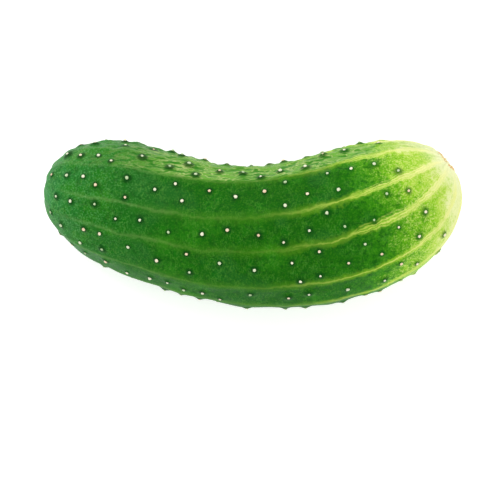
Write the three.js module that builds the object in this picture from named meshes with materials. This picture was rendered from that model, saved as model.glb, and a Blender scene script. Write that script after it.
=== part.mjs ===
// A short, bent, warty cucumber lying on its side, as picked. Millimetres, +Z up.
// +X points to the blossom end and +Y to the hollow side of the bend. The origin is the
// middle of the bounding box, on the surface that the cucumber lies on.
// "u" is a station along the bent axis: 0 at the stem pole, 1 at the blossom pole.
// "angle" goes round the axis in degrees: 0 is up, positive leans to the hollow side.

import * as THREE from "three";

// Body
const AXIS_LENGTH = 124.6; // along the bent axis, from pole to pole
const STEM_RADIUS = 18.1; // the taper's radius at the stem pole, before the end rounds off
const BLOSSOM_RADIUS = 25.7; // the taper's radius at the blossom pole, before the end rounds off
const NARROWING = 1.6; // how far the middle is drawn in from a straight taper
const STEM_ROUNDING = 38; // length over which the stem end rounds off
const BLOSSOM_ROUNDING = 61.5; // length over which the blossom end rounds off
const STEM_BLUNTNESS = 3.3; // exponent of the stem end's rounding, blunter as it grows
const BLOSSOM_BLUNTNESS = 3.05; // exponent of the blossom end's rounding

// Bend, seen from above. Headings are in degrees from +X.
const STEM_HEADING = -19.8;
const BLOSSOM_HEADING = 38.7;
const BEND_START = 0.315; // stations between which the axis turns from one to the other
const BEND_END = 0.955;
const BEND_SOFTNESS = 0.03;
const STEM_LEAN = -0.7; // how far each pole sits off the axis, towards the hollow side
const BLOSSOM_LEAN = 1.1;

// How it lies: the belly line follows the surface between two stations
const REST_START = 0.22;
const REST_END = 0.72;
const REST_SOFTNESS = 0.03;
const BELLY_PRESS = 0.3; // depth of the belly that the surface flattens
const STEM_DROOP = 2.4; // how far the stem pole drops below the resting stretch
const BLOSSOM_LIFT = 4.5; // how far the blossom pole rises above it

// Section: three soft lobes, and a low rib under each pale stripe
const LOBE_HEIGHT = 0.25;
const LOBE_COUNT = 3;
const RIB_HEIGHT = 0.35;
const RIB_WIDTH = 7; // degrees from a rib's crest to where it has mostly died away
const STRIPES = 12;
const STRIPE_PHASE = 6.7; // degrees
const STRIPE_UNEVENNESS = 1.7; // degrees that a stripe may be off an even spacing
const STRIPE_RHYTHM = 170; // degrees of the unevenness's phase from one stripe to the next
const TWIST = 28.5; // degrees that the stripes would turn from pole to pole if they turned evenly
const TWIST_EASE = 49; // how much the turning slows towards the blossom end

// Warts
const WART_TRIES = 1200; // places tried, of which those with room for a wart get one
const WART_HEIGHT = 0.85;
const WART_RADIUS = 2.3;
const WART_VARIATION = 0.25; // share by which heights and radii differ
const WART_FIRST = 0.035; // stations between which warts grow
const WART_LAST = 0.9;
const STEM_SPACING = 4.3; // least distance between neighbouring warts, at each end
const BLOSSOM_SPACING = 6.6;
const STRIPE_CLEARANCE = 5; // degrees kept free of warts on each side of a stripe

// Scars at the poles
const STEM_DIMPLE_RADIUS = 8;
const STEM_DIMPLE_DEPTH = 2;
const STEM_STUB_RADIUS = 3.2; // the dried cut of the stalk, in the middle of the dimple
const STEM_STUB_HEIGHT = 1.3;
const BLOSSOM_DIMPLE_RADIUS = 6.5;
const BLOSSOM_DIMPLE_DEPTH = 0.7;
const BLOSSOM_RING_RADIUS = 3.3; // corky ring that the flower left
const BLOSSOM_RING_WIDTH = 1;
const BLOSSOM_RING_HEIGHT = 0.4;

// Mesh
const RINGS = 84;
const SEGMENTS = 66;
const AXIS_STEPS = 400;
const POLE_DETAIL = 2.2; // how much closer the rings lie at a pole
const POLE_DETAIL_REACH = 5; // distance from the pole over which that dies away
const STEP = 0.0015; // station step for slopes

const UP = new THREE.Vector3(0, 0, 1);

function fraction(value) {
  return value - Math.floor(value);
}

// A fixed scatter of values between 0 and 1.
function scatter(index, salt) {
  return fraction(Math.sin(index * 12.9898 + salt * 78.233) * 43758.5453);
}

function softplus(value) {
  return value > 30 ? value : Math.log1p(Math.exp(value));
}

// Goes from 0 to 1 between two stations, with rounded corners.
function softRamp(u, start, end, softness) {
  const rise = softplus((u - start) / softness) - softplus((u - end) / softness);
  return (rise * softness) / (end - start);
}

// 1 at the middle of a bump, 0 from its edge on, smooth at both.
function bump(distance, radius) {
  return Math.max(0, 1 - (distance / radius) ** 2) ** 2;
}

function rounding(distance, length, bluntness) {
  return Math.sqrt(1 - Math.max(0, 1 - distance / length) ** bluntness);
}

function stemRounding(u) {
  return rounding(u * AXIS_LENGTH, STEM_ROUNDING, STEM_BLUNTNESS);
}

function blossomRounding(u) {
  return rounding((1 - u) * AXIS_LENGTH, BLOSSOM_ROUNDING, BLOSSOM_BLUNTNESS);
}

function radiusAt(u) {
  const taper = THREE.MathUtils.lerp(STEM_RADIUS, BLOSSOM_RADIUS, u);
  return (taper - NARROWING * 4 * u * (1 - u)) * stemRounding(u) * blossomRounding(u);
}

// Height of the axis, so that the belly touches the surface along its resting stretch.
function axisHeight(u) {
  const along = softRamp(u, REST_START, REST_END, REST_SOFTNESS);
  const resting = THREE.MathUtils.lerp(REST_START, REST_END, along);
  const droop = STEM_DROOP * Math.max(0, 1 - u / REST_START) ** 2;
  const lift = BLOSSOM_LIFT * Math.max(0, (u - REST_END) / (1 - REST_END)) ** 2;
  return radiusAt(resting) - BELLY_PRESS - droop + lift;
}

function headingAt(u) {
  const turned = softRamp(u, BEND_START, BEND_END, BEND_SOFTNESS);
  return THREE.MathUtils.degToRad(THREE.MathUtils.lerp(STEM_HEADING, BLOSSOM_HEADING, turned));
}

// The axis as evenly spaced points.
function traceAxis() {
  const stride = AXIS_LENGTH / AXIS_STEPS;
  const points = [new THREE.Vector3(0, 0, axisHeight(0))];
  for (let i = 1; i <= AXIS_STEPS; i++) {
    const heading = headingAt((i - 0.5) / AXIS_STEPS);
    const point = points[i - 1].clone();
    point.x += stride * Math.cos(heading);
    point.y += stride * Math.sin(heading);
    point.z = axisHeight(i / AXIS_STEPS);
    points.push(point);
  }
  return points;
}

const axis = traceAxis();

function axisPoint(u) {
  const place = THREE.MathUtils.clamp(u, 0, 1) * AXIS_STEPS;
  const before = Math.min(Math.floor(place), AXIS_STEPS - 1);
  return axis[before].clone().lerp(axis[before + 1], place - before);
}

function axisDirection(u) {
  return axisPoint(u + STEP).sub(axisPoint(u - STEP)).normalize();
}

// The middle of the ring at a station. Near a pole it slides sideways with the pole's lean.
function ringCentre(u, side) {
  const stemShare = (1 - stemRounding(u)) ** 2;
  const blossomShare = (1 - blossomRounding(u)) ** 2;
  return axisPoint(u).addScaledVector(side, STEM_LEAN * stemShare + BLOSSOM_LEAN * blossomShare);
}

// The smooth body, without ribs, warts or scars.
function bodyPoint(u, angle) {
  const station = THREE.MathUtils.clamp(u, 0, 1);
  const along = axisDirection(station);
  const side = new THREE.Vector3().crossVectors(UP, along).normalize();
  const top = new THREE.Vector3().crossVectors(along, side);
  const turn = THREE.MathUtils.degToRad(angle);
  const radius = radiusAt(station);
  const centre = ringCentre(station, side);
  centre.addScaledVector(top, radius * Math.cos(turn));
  return centre.addScaledVector(side, radius * Math.sin(turn));
}

function bodyNormal(u, angle) {
  const ahead = bodyPoint(u + STEP, angle).sub(bodyPoint(u - STEP, angle));
  const around = bodyPoint(u, angle + 1).sub(bodyPoint(u, angle - 1));
  return ahead.cross(around).normalize();
}

const STEM_POLE = bodyPoint(0, 0);
const BLOSSOM_POLE = bodyPoint(1, 0);

function stripeAngle(index, u) {
  const unevenness = STRIPE_UNEVENNESS * Math.cos(THREE.MathUtils.degToRad(index * STRIPE_RHYTHM));
  const turned = TWIST * (u - 0.5) - TWIST_EASE * (u - 0.5) ** 2;
  return STRIPE_PHASE + (index * 360) / STRIPES - unevenness + turned;
}

// Degrees from a place to the nearest stripe.
function stripeDistance(u, angle) {
  let nearest = 180;
  const first = -Math.floor(STRIPES / 2);
  for (let index = first; index < first + STRIPES; index++) {
    const apart = fraction((angle - stripeAngle(index, u)) / 360 + 0.5) * 360 - 180;
    nearest = Math.min(nearest, Math.abs(apart));
  }
  return nearest;
}

// The places come from the two-dimensional golden ratio sequence, which fills evenly.
function makeWarts() {
  const plastic = 1.32471795724;
  const warts = [];
  for (let index = 0; index < WART_TRIES; index++) {
    const u = THREE.MathUtils.lerp(WART_FIRST, WART_LAST, fraction(index / plastic));
    const angle = 360 * fraction(index / plastic ** 2);
    const place = bodyPoint(u, angle);
    const spacing = THREE.MathUtils.lerp(STEM_SPACING, BLOSSOM_SPACING, u);
    const crowded = warts.some((wart) => wart.place.distanceTo(place) < spacing);
    if (!crowded && stripeDistance(u, angle) > STRIPE_CLEARANCE) {
      const size = 1 + WART_VARIATION * (2 * scatter(index, 1) - 1);
      warts.push({ place, size });
    }
  }
  return warts;
}

const warts = makeWarts();

function wartRelief(place) {
  let height = 0;
  for (const wart of warts) {
    const distance = place.distanceTo(wart.place);
    height = Math.max(height, WART_HEIGHT * wart.size * bump(distance, WART_RADIUS * wart.size));
  }
  return height;
}

function sectionRelief(u, angle) {
  const lobes = LOBE_HEIGHT * Math.cos(THREE.MathUtils.degToRad(LOBE_COUNT * (angle - TWIST * u)));
  const rib = RIB_HEIGHT * Math.exp(-((stripeDistance(u, angle) / RIB_WIDTH) ** 2));
  return (lobes + rib) * stemRounding(u) * blossomRounding(u);
}

function stemScar(place) {
  const distance = place.distanceTo(STEM_POLE);
  const stub = STEM_STUB_HEIGHT * bump(Math.max(0, distance - STEM_STUB_RADIUS / 2), STEM_STUB_RADIUS);
  return stub - STEM_DIMPLE_DEPTH * bump(distance, STEM_DIMPLE_RADIUS);
}

function blossomScar(place) {
  const distance = place.distanceTo(BLOSSOM_POLE);
  const ring = BLOSSOM_RING_HEIGHT * bump(distance - BLOSSOM_RING_RADIUS, BLOSSOM_RING_WIDTH);
  return ring - BLOSSOM_DIMPLE_DEPTH * bump(distance, BLOSSOM_DIMPLE_RADIUS);
}

// The finished skin. Nothing reaches below the surface that the cucumber lies on.
function skinPoint(u, angle, outward) {
  const place = bodyPoint(u, angle);
  const relief = sectionRelief(u, angle) + wartRelief(place) + stemScar(place) + blossomScar(place);
  place.addScaledVector(outward, relief);
  place.z = Math.max(0, place.z);
  return place;
}

// Stations of the rings: evenly spaced over the skin, and closer together at the poles.
function ringStations() {
  const reached = [0];
  for (let i = 1; i <= AXIS_STEPS; i++) {
    const before = (i - 1) / AXIS_STEPS;
    const stretch = Math.hypot(AXIS_LENGTH / AXIS_STEPS, radiusAt(i / AXIS_STEPS) - radiusAt(before));
    const poleDistance = AXIS_LENGTH * Math.min(before, 1 - before) + radiusAt(before);
    reached.push(reached[i - 1] + stretch * (1 + POLE_DETAIL * Math.exp(-poleDistance / POLE_DETAIL_REACH)));
  }
  const stations = [];
  let step = 1;
  for (let ring = 1; ring <= RINGS; ring++) {
    const target = (reached[AXIS_STEPS] * ring) / (RINGS + 1);
    while (reached[step] < target) {
      step += 1;
    }
    stations.push((step - (reached[step] - target) / (reached[step] - reached[step - 1])) / AXIS_STEPS);
  }
  return stations;
}

function makePoints() {
  const points = [skinPoint(0, 0, axisDirection(0).negate())];
  for (const u of ringStations()) {
    for (let segment = 0; segment < SEGMENTS; segment++) {
      const angle = (360 * segment) / SEGMENTS;
      points.push(skinPoint(u, angle, bodyNormal(u, angle)));
    }
  }
  points.push(skinPoint(1, 0, axisDirection(1)));
  return points;
}

function makeFaces() {
  const faces = [];
  const last = 1 + RINGS * SEGMENTS;
  for (let segment = 0; segment < SEGMENTS; segment++) {
    const next = (segment + 1) % SEGMENTS;
    faces.push(0, 1 + segment, 1 + next);
    for (let ring = 0; ring < RINGS - 1; ring++) {
      const here = 1 + ring * SEGMENTS;
      const beyond = here + SEGMENTS;
      faces.push(here + segment, beyond + segment, beyond + next);
      faces.push(here + segment, beyond + next, here + next);
    }
    faces.push(last - SEGMENTS + segment, last, last - SEGMENTS + next);
  }
  return faces;
}

function makeCucumber() {
  const geometry = new THREE.BufferGeometry().setFromPoints(makePoints());
  geometry.setIndex(makeFaces());
  geometry.computeBoundingBox();
  const middle = geometry.boundingBox.getCenter(new THREE.Vector3());
  geometry.translate(-middle.x, -middle.y, -geometry.boundingBox.min.z);
  geometry.computeVertexNormals();
  const skin = new THREE.MeshStandardMaterial({ color: 0x2f7a1f, roughness: 0.42, metalness: 0 });
  const cucumber = new THREE.Mesh(geometry, skin);
  cucumber.name = "cucumber";
  return cucumber;
}

const model = new THREE.Group();
model.add(makeCucumber());

export default model;
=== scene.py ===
"""A short, bent, warty cucumber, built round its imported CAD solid: skin, spine stumps and a plain studio.

The shape is worked out in "shape millimetres", the sizes of a cucumber SHAPE_LENGTH long, and scaled to the
CAD box. "station" runs from 0 at the stem pole to 1 at the blossom pole, and "angle" goes round the axis in
degrees: 0 is up, and positive leans to the hollow side of the bend.
"""

import math

import bpy
import numpy as np
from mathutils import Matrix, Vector


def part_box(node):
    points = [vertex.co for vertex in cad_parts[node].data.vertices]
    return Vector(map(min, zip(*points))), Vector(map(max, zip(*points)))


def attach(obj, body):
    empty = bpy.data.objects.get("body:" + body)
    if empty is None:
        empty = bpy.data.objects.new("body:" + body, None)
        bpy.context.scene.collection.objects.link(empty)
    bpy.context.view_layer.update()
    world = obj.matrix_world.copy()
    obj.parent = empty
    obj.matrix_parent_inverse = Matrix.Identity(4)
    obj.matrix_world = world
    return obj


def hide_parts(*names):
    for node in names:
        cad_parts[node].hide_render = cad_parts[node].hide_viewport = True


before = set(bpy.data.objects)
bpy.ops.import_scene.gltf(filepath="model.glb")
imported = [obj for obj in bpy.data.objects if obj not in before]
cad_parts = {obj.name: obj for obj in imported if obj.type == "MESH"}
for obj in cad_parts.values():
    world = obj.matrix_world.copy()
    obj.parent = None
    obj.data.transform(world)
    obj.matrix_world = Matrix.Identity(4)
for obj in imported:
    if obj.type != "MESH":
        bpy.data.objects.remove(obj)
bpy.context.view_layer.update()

NODE = "cucumber"
LOW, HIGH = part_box(NODE)
SHAPE_LENGTH = 121.33
UNIT = (HIGH.x - LOW.x) / SHAPE_LENGTH  # metres in one shape millimetre

# Body
AXIS_LENGTH = 124.6
STEM_RADIUS = 18.1
BLOSSOM_RADIUS = 25.7
NARROWING = 1.6
STEM_ROUNDING = 38
BLOSSOM_ROUNDING = 61.5
STEM_BLUNTNESS = 3.3
BLOSSOM_BLUNTNESS = 3.05
STEM_HEADING = -19.8
BLOSSOM_HEADING = 38.7
BEND_START = 0.315
BEND_END = 0.955
BEND_SOFTNESS = 0.03
STEM_LEAN = -0.7
BLOSSOM_LEAN = 1.1

# How it lies
REST_START = 0.22
REST_END = 0.72
REST_SOFTNESS = 0.03
BELLY_PRESS = 0.3
STEM_DROOP = 2.4
BLOSSOM_LIFT = 4.5

# Lobes, ribs and stripes
LOBE_HEIGHT = 0.25
LOBE_COUNT = 3
RIB_HEIGHT = 0.35
RIB_WIDTH = 7
STRIPES = 12
STRIPE_PHASE = 6.7
STRIPE_UNEVENNESS = 1.7
STRIPE_RHYTHM = 170
TWIST = 28.5
TWIST_EASE = 49
HOLLOW_FIRST = 7  # numbers of the stripes that bound the hollow side's pale strip
HOLLOW_LAST = 9

# Warts
WART_TRIES = 1200
WART_HEIGHT = 0.85
WART_RADIUS = 2.3
WART_VARIATION = 0.25
WART_FIRST = 0.035
WART_LAST = 0.9
STEM_SPACING = 4.3
BLOSSOM_SPACING = 6.6
STRIPE_CLEARANCE = 5
PLASTIC_NUMBER = 1.32471795724
CONE_SHARE = 0.6  # the share of a wart's height that its steep middle makes
CONE_RADIUS = 1.6
FACE_SHARE = 0.6  # shares of the warts' full height that they reach outside the hollow side and on it
HOLLOW_SHARE = 0.76

# Fine relief of the skin
SWELL_HEIGHT = 0.13
SWELL_LENGTH = 16
DENT_HEIGHT = 0.05
DENT_LENGTH = 6.5
WRINKLE_HEIGHT = 0.14  # wrinkles and crinkles are only on the hollow side
WRINKLE_LENGTH = 3.2
WRINKLE_STRETCH = 0.45  # below 1, wrinkles are longer along the fruit than across it
CRINKLE_HEIGHT = 0.05
CRINKLE_LENGTH = 2.4

# Spine stumps, as (radius, height) round their own axis
STUMP_PROFILE = ((0.43, -0.35), (0.43, -0.02), (0.39, 0.07), (0.29, 0.13), (0.17, 0.15), (0.08, 0.12))
STUMP_SIDES = 12
STUMP_VARIATION = 0.25
STUMP_TILT = 0.22
STUMP_WOBBLE = 0.08
STUMP_SEED = 100
STUMP_FLOOR_GAP = 1.1  # a stump nearer to the floor than this is worn away

# Scars
STEM_DIMPLE_RADIUS = 8
STEM_DIMPLE_DEPTH = 2
STEM_STUB_RADIUS = 3.2
STEM_STUB_HEIGHT = 1.3
STEM_FOLDS = 10
STEM_FOLD_HEIGHT = 0.3
BLOSSOM_DIMPLE_RADIUS = 6.5
BLOSSOM_DIMPLE_DEPTH = 0.7
BLOSSOM_RING_RADIUS = 3.3
BLOSSOM_RING_WIDTH = 1
BLOSSOM_RING_HEIGHT = 0.4
BLOSSOM_CREASES = 22
BLOSSOM_CREASE_HEIGHT = 0.14

# Mesh
RINGS = 330
SEGMENTS = 288
AXIS_STEPS = 400
POLE_DETAIL = 2.2
POLE_DETAIL_REACH = 5
STEP = 0.0015
UV_MARGIN = 0.01


def smooth(value, low, high):
    share = np.clip((value - low) / (high - low), 0, 1)
    return share * share * (3 - 2 * share)


def lerp(low, high, share):
    return low + (high - low) * share


def unit(vectors):
    return vectors / np.linalg.norm(vectors, axis=-1, keepdims=True)


def scatter(index, salt):
    """A fixed scatter of values between 0 and 1."""
    value = math.sin(index * 12.9898 + salt * 78.233) * 43758.5453
    return value - math.floor(value)


def soft_ramp(station, start, end, softness):
    """Goes from 0 to 1 between two stations, with rounded corners."""
    rise = np.logaddexp(0, (station - start) / softness) - np.logaddexp(0, (station - end) / softness)
    return rise * softness / (end - start)


def bump(distance, radius):
    """1 at the middle of a bump, 0 from its edge on, smooth at both."""
    return np.maximum(0, 1 - (distance / radius) ** 2) ** 2


def ripple(points, wavelength, seed, waves=20):
    """Smooth random relief of unit strength over points in shape millimetres, the same each run."""
    random = np.random.default_rng(seed)
    directions = unit(random.normal(size=(waves, 3)))
    numbers = 2 * np.pi / wavelength * random.uniform(0.7, 1.4, (waves, 1))
    phases = random.uniform(0, 2 * np.pi, waves)
    return np.sin(points @ (directions * numbers).T + phases).sum(-1) * math.sqrt(2 / waves)


# --- The smooth body -----------------------------------------------------------------------------


def rounding(distance, length, bluntness):
    return np.sqrt(1 - np.maximum(0, 1 - distance / length) ** bluntness)


def stem_rounding(station):
    return rounding(station * AXIS_LENGTH, STEM_ROUNDING, STEM_BLUNTNESS)


def blossom_rounding(station):
    return rounding((1 - station) * AXIS_LENGTH, BLOSSOM_ROUNDING, BLOSSOM_BLUNTNESS)


def radius_at(station):
    taper = lerp(STEM_RADIUS, BLOSSOM_RADIUS, station) - NARROWING * 4 * station * (1 - station)
    return taper * stem_rounding(station) * blossom_rounding(station)


def axis_height(station):
    """Height of the axis, so that the belly touches the floor along its resting stretch."""
    along = soft_ramp(station, REST_START, REST_END, REST_SOFTNESS)
    droop = STEM_DROOP * np.maximum(0, 1 - station / REST_START) ** 2
    lift = BLOSSOM_LIFT * np.maximum(0, (station - REST_END) / (1 - REST_END)) ** 2
    return radius_at(lerp(REST_START, REST_END, along)) - BELLY_PRESS - droop + lift


def trace_axis():
    """The stations and points of the axis, evenly spaced."""
    stations = np.linspace(0, 1, AXIS_STEPS + 1)
    middles = (stations[1:] + stations[:-1]) / 2
    turned = soft_ramp(middles, BEND_START, BEND_END, BEND_SOFTNESS)
    heading = np.radians(lerp(STEM_HEADING, BLOSSOM_HEADING, turned))
    stride = AXIS_LENGTH / AXIS_STEPS
    x = np.concatenate([[0], np.cumsum(stride * np.cos(heading))])
    y = np.concatenate([[0], np.cumsum(stride * np.sin(heading))])
    return stations, np.stack([x, y, axis_height(stations)], -1)


AXIS_STATIONS, AXIS_POINTS = trace_axis()


def axis_point(station):
    return np.stack([np.interp(station, AXIS_STATIONS, AXIS_POINTS[:, k]) for k in range(3)], -1)


def body_point(station, angle):
    """Points of the smooth body, without ribs, warts or scars."""
    station, angle = np.broadcast_arrays(np.clip(station, 0, 1).astype(float), np.radians(angle))
    along = unit(axis_point(station + STEP) - axis_point(station - STEP))
    side = unit(np.cross([0, 0, 1], along))
    top = np.cross(along, side)
    stem_share = STEM_LEAN * (1 - stem_rounding(station)) ** 2
    blossom_share = BLOSSOM_LEAN * (1 - blossom_rounding(station)) ** 2
    radius = radius_at(station)
    across = (stem_share + blossom_share + radius * np.sin(angle))[..., None]
    return axis_point(station) + side * across + top * (radius * np.cos(angle))[..., None]


def body_normal(station, angle):
    ahead = body_point(station + STEP, angle) - body_point(station - STEP, angle)
    around = body_point(station, angle + 1) - body_point(station, angle - 1)
    return unit(np.cross(ahead, around))


STEM_POLE = body_point(0.0, 0.0)
BLOSSOM_POLE = body_point(1.0, 0.0)


# --- Stripes, warts and scars ----------------------------------------------------------------------


def stripe_angles(station):
    """The angle of every stripe at each station, stripes along the last axis."""
    index = np.arange(STRIPES) - STRIPES // 2
    unevenness = STRIPE_UNEVENNESS * np.cos(np.radians(index * STRIPE_RHYTHM))
    from_middle = np.asarray(station)[..., None] - 0.5
    turned = TWIST * from_middle - TWIST_EASE * from_middle**2
    return STRIPE_PHASE + index * 360 / STRIPES - unevenness + turned


def stripe_offset(station, angle):
    """Signed degrees to the nearest stripe, and that stripe's number."""
    apart = (np.asarray(angle)[..., None] - stripe_angles(station) + 180) % 360 - 180
    nearest = np.abs(apart).argmin(-1)
    return np.take_along_axis(apart, nearest[..., None], -1)[..., 0], nearest


def hollow_share(station, angle):
    """1 inside the pale strip of the hollow side, between two stripes, and 0 outside it."""
    angles = stripe_angles(station)
    turned = (angle - angles[..., HOLLOW_FIRST] + 180) % 360 - 180
    width = angles[..., HOLLOW_LAST] - angles[..., HOLLOW_FIRST]
    return smooth(turned, -1.5, 3.5) * (1 - smooth(turned, width - 14, width + 4))


def make_warts():
    """Places, sizes, stations and angles of the warts, which keep their distance from each other."""
    places = np.zeros((0, 3))
    facts = []
    for index in range(WART_TRIES):
        station = lerp(WART_FIRST, WART_LAST, (index / PLASTIC_NUMBER) % 1)
        angle = 360 * ((index / PLASTIC_NUMBER**2) % 1)
        place = body_point(station, angle)
        spacing = lerp(STEM_SPACING, BLOSSOM_SPACING, station)
        crowded = len(places) and np.linalg.norm(places - place, axis=1).min() < spacing
        if not crowded and abs(stripe_offset(station, angle)[0]) > STRIPE_CLEARANCE:
            size = 1 + WART_VARIATION * (2 * scatter(index, 1) - 1)
            places = np.vstack([places, place])
            facts.append((size, station, angle))
    return places, np.array(facts)


WART_PLACES, WART_FACTS = make_warts()


def wart_field(body):
    """Height of the warts, distance to the nearest one, and its number, at points of the smooth body."""
    height = np.zeros(len(body))
    nearest = np.full(len(body), 99.0)
    number = np.zeros(len(body), int)
    for index, (place, (size, _, _)) in enumerate(zip(WART_PLACES, WART_FACTS)):
        distance = np.linalg.norm(body - place, axis=1)
        mound = size * WART_HEIGHT * (1 - CONE_SHARE) * bump(distance, size * WART_RADIUS)
        mound += size * WART_HEIGHT * CONE_SHARE * bump(distance, size * CONE_RADIUS)
        height = np.maximum(height, mound)
        number[distance < nearest] = index
        nearest = np.minimum(nearest, distance)
    return height, nearest, number


def section_relief(station, angle):
    lobes = LOBE_HEIGHT * np.cos(np.radians(LOBE_COUNT * (angle - TWIST * station)))
    rib = RIB_HEIGHT * np.exp(-((stripe_offset(station, angle)[0] / RIB_WIDTH) ** 2))
    return (lobes + rib) * stem_rounding(station) * blossom_rounding(station)


def stem_scar(body, angle):
    """The dried cut of the stalk, in a puckered dimple."""
    distance = np.linalg.norm(body - STEM_POLE, axis=1)
    ragged = 0.05 * np.sin(np.radians(5 * angle)) + 0.03 * np.sin(np.radians(8 * angle + 40))
    edge = STEM_STUB_RADIUS * (1 + ragged)
    stub = STEM_STUB_HEIGHT * (1 - smooth(distance, edge - 0.5, edge + 0.6))
    hollow = 0.6 * bump(distance, edge * 0.75)
    folds = STEM_FOLD_HEIGHT * np.cos(np.radians(STEM_FOLDS * angle)) * bump(distance - 5.5, 3.5)
    grain = 0.12 * ripple(body, 0.9, 5) * (1 - smooth(distance, edge - 0.3, edge + 0.3))
    return stub - hollow + folds + grain - STEM_DIMPLE_DEPTH * bump(distance, STEM_DIMPLE_RADIUS)


def blossom_scar(body, angle):
    """The corky ring that the flower left, in a shallow dimple with fine creases running into it."""
    distance = np.linalg.norm(body - BLOSSOM_POLE, axis=1)
    rough = 1 + 0.25 * ripple(body, 1.3, 6)
    ring = BLOSSOM_RING_HEIGHT * rough * bump(distance - BLOSSOM_RING_RADIUS, BLOSSOM_RING_WIDTH)
    wander = 60 * np.sin(np.radians(3 * angle))
    creases = BLOSSOM_CREASE_HEIGHT * np.cos(np.radians(BLOSSOM_CREASES * angle + wander))
    creases *= bump(distance - 6, 4)
    middle = 0.35 * bump(distance, 0.9)
    return ring + creases + middle - BLOSSOM_DIMPLE_DEPTH * bump(distance, BLOSSOM_DIMPLE_RADIUS)


def skin_relief(body, station, angle):
    """How far the finished skin stands off the smooth body, and the wart facts that its colours need."""
    warts, wart_distance, wart_number = wart_field(body)
    hollow_side = smooth(np.sin(np.radians(angle)), 0.45, 0.95)
    ends = stem_rounding(station) * blossom_rounding(station)
    swell = SWELL_HEIGHT * ripple(body, SWELL_LENGTH, 1) + DENT_HEIGHT * ripple(body, DENT_LENGTH, 2)
    wrinkles = WRINKLE_HEIGHT * ripple(body * [WRINKLE_STRETCH, 1, 1], WRINKLE_LENGTH, 3)
    crinkles = CRINKLE_HEIGHT * ripple(body, CRINKLE_LENGTH, 4)
    fine = (swell + hollow_side * (wrinkles + crinkles)) * ends
    relief = section_relief(station, angle) + warts * lerp(FACE_SHARE, HOLLOW_SHARE, hollow_side) + fine
    relief += stem_scar(body, angle) + blossom_scar(body, angle)
    return relief, wart_distance, wart_number


# --- Meshes ----------------------------------------------------------------------------------------


def ring_stations():
    """Stations of the rings and how far along the skin they lie: evenly spaced, and closer at the poles."""
    stations = AXIS_STATIONS
    stretch = np.hypot(AXIS_LENGTH / AXIS_STEPS, np.diff(radius_at(stations)))
    before = stations[:-1]
    pole_distance = AXIS_LENGTH * np.minimum(before, 1 - before) + radius_at(before)
    weight = 1 + POLE_DETAIL * np.exp(-pole_distance / POLE_DETAIL_REACH)
    reached = np.concatenate([[0], np.cumsum(stretch * weight)])
    share = np.arange(1, RINGS + 1) / (RINGS + 1)
    found = np.interp(share * reached[-1], reached, stations)
    skin_length = np.concatenate([[0], np.cumsum(stretch)])
    return found, np.interp(found, stations, skin_length) / skin_length[-1]


def make_mesh(name, points, faces, smooth_shading=True):
    mesh = bpy.data.meshes.new(name)
    mesh.from_pydata(points.tolist(), [], faces)
    mesh.validate()
    mesh.polygons.foreach_set("use_smooth", [smooth_shading] * len(mesh.polygons))
    mesh.update()
    piece = bpy.data.objects.new(name, mesh)
    bpy.context.scene.collection.objects.link(piece)
    return piece


def add_attribute(mesh, name, values):
    attribute = mesh.attributes.new(name, "FLOAT", "POINT")
    attribute.data.foreach_set("value", np.asarray(values, np.float32))


def grid_faces():
    """Faces of the skin: a fan at each pole and quads between the rings, facing out."""
    segment = np.arange(SEGMENTS)
    following = (segment + 1) % SEGMENTS
    first = 1 + np.stack([np.full(SEGMENTS, -1), segment, following], -1)
    start = 1 + np.arange(RINGS - 1)[:, None] * SEGMENTS
    quads = np.stack([start + segment, start + SEGMENTS + segment,
                      start + SEGMENTS + following, start + following], -1).reshape(-1, 4)
    last = 1 + RINGS * SEGMENTS
    final = np.stack([last - SEGMENTS + segment, np.full(SEGMENTS, last), last - SEGMENTS + following], -1)
    return first.tolist() + quads.tolist() + final.tolist()


def grid_uvs(shares):
    """A flat map of the skin for every face corner: along the fruit, and once round it."""
    along = lerp(UV_MARGIN, 1 - UV_MARGIN, np.concatenate([[0], shares, [1]]))
    segment = np.arange(SEGMENTS)
    here = lerp(UV_MARGIN, 1 - UV_MARGIN, segment / SEGMENTS)
    there = lerp(UV_MARGIN, 1 - UV_MARGIN, (segment + 1) / SEGMENTS)
    middle = (here + there) / 2
    start = np.full(SEGMENTS, along[0])
    one = np.full(SEGMENTS, along[1])
    first = np.stack([start, middle, one, here, one, there], -1).reshape(-1, 2)
    low = np.repeat(along[1:-2], SEGMENTS)
    high = np.repeat(along[2:-1], SEGMENTS)
    here_all = np.tile(here, RINGS - 1)
    there_all = np.tile(there, RINGS - 1)
    quads = np.stack([low, here_all, high, here_all, high, there_all, low, there_all], -1).reshape(-1, 2)
    last = np.full(SEGMENTS, along[-2])
    end = np.full(SEGMENTS, along[-1])
    final = np.stack([last, here, end, middle, last, there], -1).reshape(-1, 2)
    return np.concatenate([first, quads, final])


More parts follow.
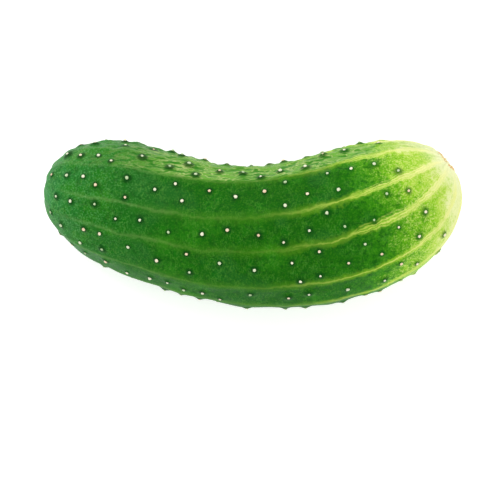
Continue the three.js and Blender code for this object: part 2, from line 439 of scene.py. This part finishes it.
def make_skin():
    """The skin as one closed mesh in shape millimetres, with the measures that its material reads."""
    stations, shares = ring_stations()
    ring_angles = 180 + 360 * np.arange(SEGMENTS) / SEGMENTS
    station = np.concatenate([[0], np.repeat(stations, SEGMENTS), [1]])
    angle = np.concatenate([[0], np.tile(ring_angles, RINGS), [0]])
    body = body_point(station, angle)
    outward = np.empty_like(body)
    outward[1:-1] = body_normal(station[1:-1], angle[1:-1])
    outward[0] = -unit(axis_point(STEP) - axis_point(0))
    outward[-1] = unit(axis_point(1) - axis_point(1 - STEP))
    relief, wart_distance, wart_number = skin_relief(body, station, angle)
    points = body + outward * relief[:, None]
    points[:, 2] = np.maximum(points[:, 2], 0)
    skin = make_mesh("cucumber_skin", points, grid_faces())
    offset, number = stripe_offset(station, angle)
    add_attribute(skin.data, "station", station)
    add_attribute(skin.data, "lean", np.sin(np.radians(angle)))
    add_attribute(skin.data, "stripe", np.radians(offset) * radius_at(station))
    add_attribute(skin.data, "stripe_near", np.abs(np.radians(offset)) * radius_at(station))
    add_attribute(skin.data, "hollow", hollow_share(station, angle))
    add_attribute(skin.data, "stripe_strength", [scatter(n, 7) for n in number])
    add_attribute(skin.data, "wart", wart_distance / WART_FACTS[wart_number, 0])
    add_attribute(skin.data, "stem_distance", np.linalg.norm(body - STEM_POLE, axis=1))
    add_attribute(skin.data, "blossom_distance", np.linalg.norm(body - BLOSSOM_POLE, axis=1))
    skin.data.uv_layers.new(name="OFBake").data.foreach_set("uv", grid_uvs(shares).ravel())
    return skin


def make_stumps():
    """A stump of a spine on every wart, except where the fruit lies on the floor."""
    size, station, angle = WART_FACTS.T
    relief = skin_relief(WART_PLACES, station, angle)[0]
    outward = body_normal(station, angle)
    feet = WART_PLACES + outward * relief[:, None]
    profile = np.array(STUMP_PROFILE)
    turns = 2 * np.pi * np.arange(STUMP_SIDES) / STUMP_SIDES
    points, faces, seeds = [], [], []
    for index in np.flatnonzero(feet[:, 2] > STUMP_FLOOR_GAP):
        random = np.random.default_rng(STUMP_SEED + index)
        axis = unit(outward[index] + random.normal(size=3) * STUMP_TILT)
        across = unit(np.cross(axis, [0.3, 0.5, 0.8]))
        third = np.cross(axis, across)
        scale = 1 + STUMP_VARIATION * (2 * random.random() - 1)
        first = len(points)
        for radius, height in profile:
            wobble = 1 + STUMP_WOBBLE * np.sin(2 * turns + 6 * random.random())
            for turn, swell in zip(turns, wobble):
                reach = radius * scale * swell
                points.append(feet[index] + axis * height * scale
                              + across * reach * math.cos(turn) + third * reach * math.sin(turn))
        for ring in range(len(profile) - 1):
            for side in range(STUMP_SIDES):
                a = first + ring * STUMP_SIDES + side
                b = first + ring * STUMP_SIDES + (side + 1) % STUMP_SIDES
                faces.append((a, b, b + STUMP_SIDES, a + STUMP_SIDES))
        top = first + (len(profile) - 1) * STUMP_SIDES
        faces.append(tuple(range(top, top + STUMP_SIDES)))
        faces.append(tuple(reversed(range(first, first + STUMP_SIDES))))
        seeds += [random.random()] * (len(profile) * STUMP_SIDES)
    stumps = make_mesh("spine_stumps", np.array(points), faces)
    add_attribute(stumps.data, "seed", seeds)
    return stumps


def seat_on_frame(pieces):
    """Scales the pieces to metres and puts the skin's box over the CAD box, bottom to bottom."""
    skin = pieces[0]
    count = len(skin.data.vertices)
    places = np.empty(count * 3)
    skin.data.vertices.foreach_get("co", places)
    places = places.reshape(-1, 3)
    low, high = places.min(0) * UNIT, places.max(0) * UNIT
    shift_x = (LOW.x + HIGH.x - low[0] - high[0]) / 2
    shift_y = (LOW.y + HIGH.y - low[1] - high[1]) / 2
    shift = Vector((shift_x, shift_y, LOW.z - low[2]))
    for piece in pieces:
        places = np.empty(len(piece.data.vertices) * 3)
        piece.data.vertices.foreach_get("co", places)
        places = places.reshape(-1, 3) * UNIT + np.array(shift)
        piece.data.vertices.foreach_set("co", places.ravel())
        piece.data.update()


# --- Materials -------------------------------------------------------------------------------------


def colour(red, green, blue):
    """A colour given in sRGB steps of 0 to 255, as the linear colour that a shader takes."""
    def linear(step):
        share = step / 255
        return share / 12.92 if share <= 0.04045 else ((share + 0.055) / 1.055) ** 2.4

    return (linear(red), linear(green), linear(blue), 1)


class Shader:
    """A material's node tree, with one short call for each kind of node."""

    def __init__(self, name):
        self.material = bpy.data.materials.new(name)
        self.material.use_nodes = True
        self.tree = self.material.node_tree
        self.principled = self.tree.nodes["Principled BSDF"]
        self.place = self.node("ShaderNodeTexCoord").outputs["Object"]

    def node(self, kind, **settings):
        node = self.tree.nodes.new(kind)
        for key, value in settings.items():
            setattr(node, key, value)
        return node

    def feed(self, socket, value):
        if isinstance(value, bpy.types.NodeSocket):
            self.tree.links.new(value, socket)
        else:
            socket.default_value = value

    def attribute(self, name):
        return self.node("ShaderNodeAttribute", attribute_name=name).outputs["Fac"]

    def math(self, operation, first, second=0.0):
        node = self.node("ShaderNodeMath", operation=operation)
        self.feed(node.inputs[0], first)
        self.feed(node.inputs[1], second)
        return node.outputs[0]

    def add(self, *values):
        total = values[0]
        for value in values[1:]:
            total = self.math("ADD", total, value)
        return total

    def times(self, *values):
        total = values[0]
        for value in values[1:]:
            total = self.math("MULTIPLY", total, value)
        return total

    def between(self, value, low, high, start=0.0, end=1.0):
        """Goes smoothly from start to end as value goes from low to high."""
        node = self.node("ShaderNodeMapRange", interpolation_type="SMOOTHSTEP")
        for socket, number in zip(node.inputs, (value, low, high, start, end)):
            self.feed(socket, number)
        return node.outputs[0]

    def line(self, value, middle, width):
        """1 where value is middle, fading to 0 where it is width away."""
        apart = self.math("ABSOLUTE", self.math("SUBTRACT", value, middle))
        return self.between(apart, 0.0, width, 1, 0)

    def stretched(self, scale):
        node = self.node("ShaderNodeVectorMath", operation="MULTIPLY")
        self.feed(node.inputs[0], self.place)
        node.inputs[1].default_value = scale
        return node.outputs[0]

    def noise(self, size_mm, detail=2.0, roughness=0.5, place=None):
        """Noise whose blotches are about size_mm across, around 0.5."""
        node = self.node("ShaderNodeTexNoise")
        self.feed(node.inputs["Vector"], place or self.place)
        node.inputs["Scale"].default_value = 1 / (size_mm * UNIT)
        node.inputs["Detail"].default_value = detail
        node.inputs["Roughness"].default_value = roughness
        return node.outputs["Fac"]

    def around_zero(self, noise, strength):
        return self.times(self.math("SUBTRACT", noise, 0.5), 2 * strength)

    def ramp(self, value, stops):
        node = self.node("ShaderNodeValToRGB")
        elements = node.color_ramp.elements
        while len(elements) > 1:
            elements.remove(elements[0])
        elements[0].position, elements[0].color = stops[0]
        for position, shade in stops[1:]:
            elements.new(position).color = shade
        self.feed(node.inputs["Fac"], value)
        return node.outputs["Color"]

    def mix(self, share, below, above):
        node = self.node("ShaderNodeMix", data_type="RGBA")
        self.feed(node.inputs["Factor"], share)
        self.feed(node.inputs[6], below)
        self.feed(node.inputs[7], above)
        return node.outputs[2]

    def bump(self, height, distance, strength=1.0, normal=None):
        node = self.node("ShaderNodeBump")
        node.inputs["Strength"].default_value = strength
        node.inputs["Distance"].default_value = distance * UNIT
        self.feed(node.inputs["Height"], height)
        if normal is not None:
            self.feed(node.inputs["Normal"], normal)
        return node.outputs["Normal"]

    def finish(self, **inputs):
        for name, value in inputs.items():
            self.feed(self.principled.inputs[name.replace("_", " ")], value)
        return self.material


def stripe_lines(shader, station):
    """The pale threads of a stripe, which wander, merge and break, and the soft band they lie in, 0 to 1."""
    inside = shader.between(shader.attribute("stripe_near"), 2.6, 3.8, 1, 0)
    waver = shader.around_zero(shader.noise(10, 1), 1.1)
    tremble = shader.around_zero(shader.noise(1.6, 2), 0.6)
    strayed = shader.add(shader.attribute("stripe"), waver, tremble)
    parting = shader.times(shader.between(shader.noise(14, 1), 0.36, 0.6, 0.1, 0.95),
                           shader.between(station, 0.5, 0.84, 0.3, 1))
    thin = shader.between(station, 0.45, 0.75, 0.58, 0.27)
    threads = 0.0
    for side, weight, gap_size in ((0.0, 1.0, 4.0), (0.75, 0.9, 3.0), (-0.7, 0.7, 2.4), (1.6, 0.4, 1.8)):
        middle = shader.times(parting, side)
        apart = shader.math("ABSOLUTE", shader.math("SUBTRACT", strayed, middle))
        unbroken = shader.between(shader.noise(gap_size, 2), 0.34, 0.56, 0.25, 1)
        core = shader.between(shader.math("DIVIDE", apart, thin), 0.1, 1.0, 1, 0)
        thread = shader.times(core, unbroken, weight)
        threads = shader.math("MAXIMUM", threads, thread)
    width = shader.add(shader.between(station, 0.5, 0.8, 1.9, 1.05),
                       shader.around_zero(shader.noise(5, 2), 0.7),
                       shader.around_zero(shader.noise(1.1, 2), 0.9))
    band = shader.between(shader.math("DIVIDE", shader.math("ABSOLUTE", strayed), width), 0.1, 1.4, 1, 0)
    return shader.times(threads, inside), shader.times(band, inside)


def skin_material():
    shader = Shader("cucumber_skin")
    station = shader.attribute("station")
    lean = shader.attribute("lean")
    wart = shader.attribute("wart")
    hollow = shader.attribute("hollow")
    stem = shader.attribute("stem_distance")
    blossom = shader.attribute("blossom_distance")
    strength = shader.add(shader.times(shader.attribute("stripe_strength"), 0.3), 0.7)

    clouds = shader.noise(12, 2)
    blotches = shader.noise(4.5, 3, 0.55)
    mottle = shader.noise(1.3, 3, 0.65)
    speckle = shader.noise(0.5, 2, 0.6)
    creases = shader.noise(1.0, 2, 0.6, shader.stretched((1.0, 0.45, 0.45)))
    threads, band = stripe_lines(shader, station)

    # Ripeness runs along the fruit. It is ahead in the stripes and on the flanks.
    flank = shader.between(shader.math("ABSOLUTE", lean), 0.35, 0.95)
    low_flank = shader.times(shader.between(lean, -0.72, -0.95), shader.between(station, 0.5, 0.74))
    ripening = shader.between(station, 0.45, 0.8)
    ripeness = shader.add(
        station,
        shader.times(band, ripening, 0.055),
        shader.times(flank, ripening, 0.035),
        shader.times(low_flank, 0.035),
        shader.around_zero(clouds, 0.05),
        shader.around_zero(blotches, 0.06),
        shader.around_zero(mottle, 0.055),
        shader.around_zero(speckle, 0.045),
    )
    # The first stops, bluer and paler at the stem end, are partly the skin's own colour and partly painted
    # sheen.
    base = shader.ramp(ripeness, [
        (0.0, colour(50, 140, 68)),
        (0.07, colour(36, 120, 42)),
        (0.16, colour(26, 106, 22)),
        (0.34, colour(16, 95, 6)),
        (0.6, colour(18, 93, 2)),
        (0.74, colour(26, 104, 2)),
        (0.8, colour(52, 132, 6)),
        (0.86, colour(94, 166, 16)),
        (0.905, colour(142, 198, 40)),
        (0.955, colour(186, 218, 84)),
        (1.0, colour(232, 238, 172)),
    ])

    # Clouds of a fresher and of a bluer green, where the skin is unripe.
    unripe = shader.between(ripeness, 0.78, 0.9, 1, 0)
    vivid = shader.times(shader.between(blotches, 0.5, 0.72, 0, 0.4), unripe)
    base = shader.mix(vivid, base, colour(14, 112, 10))
    bluer = shader.times(shader.between(clouds, 0.52, 0.34, 0, 0.45), unripe)
    base = shader.mix(bluer, base, colour(34, 98, 36))
    fresh = shader.times(shader.between(clouds, 0.54, 0.7, 0, 0.5), unripe)
    base = shader.mix(fresh, base, colour(40, 124, 14))

    # Fine cells: lighter and darker specks; the pale specks, frosty at the stem end, are partly waxy bloom
    # and partly painted sheen.
    bloom_and_sheen = shader.between(station, 0.02, 0.32, 1, 0.35)
    speck_colour = shader.mix(shader.between(station, 0.1, 0.4), colour(104, 180, 104), colour(92, 158, 36))
    base = shader.mix(shader.times(shader.between(speckle, 0.46, 0.7), bloom_and_sheen, 0.6), base, speck_colour)
    crease_lines = shader.line(creases, 0.5, 0.045)
    lit = shader.times(crease_lines, unripe, shader.between(blotches, 0.35, 0.6), 0.32)
    base = shader.mix(lit, base, colour(98, 160, 62))
    depth = shader.add(shader.times(unripe, 0.4), 0.06)
    dark_mottle = shader.times(shader.between(mottle, 0.52, 0.34), depth)
    base = shader.mix(dark_mottle, base, colour(10, 72, 8))
    ripe_specks = shader.times(shader.between(speckle, 0.45, 0.68), shader.between(ripeness, 0.8, 0.92), 0.5)
    base = shader.mix(ripe_specks, base, colour(226, 236, 140))

    # The pale strip of the hollow side, partly paler skin and partly painted reflection of the bright
    # surroundings, with fine ridges along it.
    ridges = shader.noise(1.1, 2, 0.5, shader.stretched((0.3, 1.0, 1.0)))
    ridge_lines = shader.line(ridges, 0.52, 0.07)
    strip = shader.times(hollow, shader.between(station, 0.1, 0.34, 0.12, 1))
    pale = shader.mix(shader.between(ridges, 0.26, 0.7), colour(48, 126, 22), colour(120, 180, 66))
    seen = shader.between(blotches, 0.34, 0.62, 0.2, 0.75)
    pale = shader.mix(shader.times(ridge_lines, seen), pale, colour(214, 226, 146))
    base = shader.mix(shader.times(strip, shader.between(ripeness, 0.8, 0.95, 0.8, 0.3)), base, pale)

    # Stripes are missing at the stem, faint past it, faintest round the middle and full near the blossom end.
    reach = shader.add(
        shader.between(station, 0.02, 0.14, 0.0, 0.34),
        shader.between(station, 0.3, 0.42, 0.0, -0.16),
        shader.between(station, 0.52, 0.8, 0.0, 0.82),
    )
    band_colour = shader.ramp(station, [
        (0.1, colour(66, 132, 44)),
        (0.55, colour(84, 146, 18)),
        (0.8, colour(158, 202, 48)),
        (0.95, colour(222, 232, 120)),
    ])
    band_reach = shader.add(
        shader.between(station, 0.12, 0.36, 0.06, 0.36),
        shader.between(station, 0.5, 0.8, 0.0, 0.45),
    )
    base = shader.mix(shader.times(band, band_reach, strength, 0.75), base, band_colour)
    thread_colour = shader.ramp(station, [
        (0.08, colour(150, 190, 120)),
        (0.5, colour(150, 188, 78)),
        (0.75, colour(208, 222, 100)),
        (0.92, colour(244, 242, 156)),
    ])
    clear = shader.between(station, 0.4, 0.8, 0.6, 0.9)
    base = shader.mix(shader.times(threads, reach, strength, clear), base, thread_colour)

    # A small dark green foot round each wart's tip, partly the wart's own darker green and partly painted
    # shade, wider where the skin is pale.
    distance = shader.add(wart, shader.around_zero(mottle, 0.25))
    halo = shader.times(shader.between(distance, 0.5, 1.65, 1, 0), 0.8)
    spread = shader.add(shader.times(hollow, 0.6), 0.22)
    wide_halo = shader.times(shader.between(distance, 0.8, 1.9, 1, 0), spread)
    foot_and_shade = shader.math("MAXIMUM", halo, wide_halo)
    foot_and_shade_colour = shader.mix(shader.between(station, 0.5, 0.85), colour(2, 56, 10), colour(10, 88, 8))
    base = shader.mix(foot_and_shade, base, foot_and_shade_colour)

    # Scars
    ring = shader.between(shader.math("ABSOLUTE", shader.math("SUBTRACT", blossom, BLOSSOM_RING_RADIUS)),
                          0.1, 0.75, 1, 0)
    base = shader.mix(shader.between(blossom, 3.0, 14.0, 0.7, 0.0), base, colour(240, 242, 200))
    base = shader.mix(shader.between(blossom, 2.2, 3.0, 0.7, 0.0), base, colour(244, 238, 214))
    corky = shader.times(ring, shader.between(mottle, 0.38, 0.54, 0.15, 0.85))
    base = shader.mix(corky, base, colour(214, 134, 62))
    # A darker ring round the stem stub, down in its dimple: painted shade.
    painted_stub_shade = shader.between(stem, STEM_STUB_RADIUS + 0.5, STEM_STUB_RADIUS + 2.6, 0.75, 0)
    uneven = shader.between(mottle, 0.3, 0.6, 0.6, 1)
    base = shader.mix(shader.times(painted_stub_shade, uneven), base, colour(12, 70, 22))
    stub = shader.between(stem, STEM_STUB_RADIUS - 0.1, STEM_STUB_RADIUS + 0.5, 1, 0)
    stub_colour = shader.ramp(shader.add(shader.times(stem, 0.25), shader.around_zero(mottle, 0.3)), [
        (0.05, colour(112, 96, 58)),
        (0.3, colour(176, 156, 108)),
        (0.6, colour(150, 134, 84)),
        (0.85, colour(88, 86, 44)),
    ])
    base = shader.mix(stub, base, stub_colour)

    roughness = shader.add(0.46, shader.around_zero(mottle, 0.14), shader.times(foot_and_shade, 0.05),
                           shader.times(threads, 0.08), shader.times(stub, 0.3), shader.times(ring, 0.25))
    cells = shader.bump(speckle, 0.07, 0.6)
    pebbles = shader.bump(mottle, 0.18, 0.6, cells)
    ridged = shader.bump(shader.times(ridges, strip), 0.5, 0.7, pebbles)
    raised = shader.bump(shader.times(threads, reach), 0.08, 0.6, ridged)
    return shader.finish(
        Base_Color=base, Roughness=roughness, Normal=raised, IOR=1.45, Specular_IOR_Level=0.06,
    )


def stump_material():
    shader = Shader("spine_stump")
    seed = shader.attribute("seed")
    grain = shader.noise(0.3, 2)
    base = shader.ramp(shader.add(seed, shader.around_zero(grain, 0.3)), [
        (0.0, colour(176, 204, 150)),
        (0.3, colour(214, 226, 186)),
        (0.6, colour(242, 240, 212)),
        (0.85, colour(246, 232, 200)),
        (0.97, colour(238, 204, 168)),
    ])
    return shader.finish(Base_Color=base, Roughness=0.6, Normal=shader.bump(grain, 0.06, 0.6))


# --- Studio ----------------------------------------------------------------------------------------

VIEW_ELEVATION = 82  # degrees above the horizon
LENS = 135  # mm
SENSOR = 36  # mm
FRAME_WIDTH = 144.7 * UNIT  # metres across the frame at the fruit's middle
AIM_BELOW = 8.06 * UNIT  # the fruit sits this far above the middle of the frame
AIM_LEFT = 0.72 * UNIT
FLOOR_GLOW = 0.45  # the floor is a light table
FLOOR_HALF = 15.0  # metres
WORLD_STRENGTH = 0.8


def make_camera():
    middle = (LOW + HIGH) / 2
    tilt = math.radians(VIEW_ELEVATION)
    back = Vector((0, -math.cos(tilt), math.sin(tilt)))
    upward = Vector((0, math.sin(tilt), math.cos(tilt)))
    aim = middle - upward * AIM_BELOW - Vector((AIM_LEFT, 0, 0))
    data = bpy.data.cameras.new("camera")
    data.lens = LENS
    data.sensor_width = SENSOR
    camera = bpy.data.objects.new("camera", data)
    camera.location = aim + back * (FRAME_WIDTH * LENS / SENSOR)
    camera.rotation_euler = back.to_track_quat("Z", "Y").to_euler()
    bpy.context.scene.collection.objects.link(camera)
    bpy.context.scene.camera = camera


def make_floor():
    corners = [(x * FLOOR_HALF, y * FLOOR_HALF, 0) for x, y in ((-1, -1), (1, -1), (1, 1), (-1, 1))]
    floor = make_mesh("floor", np.array(corners), [(0, 1, 2, 3)], False)
    floor.location.z = LOW.z
    shader = Shader("floor")
    glow = {"Emission_Color": (1, 1, 1, 1), "Emission_Strength": FLOOR_GLOW}
    floor.data.materials.append(shader.finish(Base_Color=colour(248, 248, 247), Roughness=0.8, **glow))


def make_light(name, direction, distance, size, power):
    data = bpy.data.lights.new(name, "AREA")
    data.shape = "DISK"
    data.size = size
    data.energy = power
    light = bpy.data.objects.new(name, data)
    toward = Vector(direction).normalized()
    light.location = (LOW + HIGH) / 2 + toward * distance
    light.rotation_euler = toward.to_track_quat("Z", "Y").to_euler()
    bpy.context.scene.collection.objects.link(light)


def make_studio():
    scene = bpy.context.scene
    scene.view_settings.view_transform = "Standard"
    world = bpy.data.worlds.new("studio")
    world.use_nodes = True
    world.node_tree.nodes["Background"].inputs["Color"].default_value = (1, 1, 1, 1)
    world.node_tree.nodes["Background"].inputs["Strength"].default_value = WORLD_STRENGTH
    scene.world = world
    make_light("key", direction=(-0.35, 0.6, 0.9), distance=0.9, size=0.7, power=2.6)
    make_light("fill", direction=(0.5, -0.5, 1.0), distance=0.9, size=0.6, power=1.0)


skin = make_skin()
stumps = make_stumps()
seat_on_frame([skin, stumps])
skin.data.materials.append(skin_material())
stumps.data.materials.append(stump_material())
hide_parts(NODE)
for piece in (skin, stumps):
    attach(piece, "root")

make_floor()
make_camera()
make_studio()
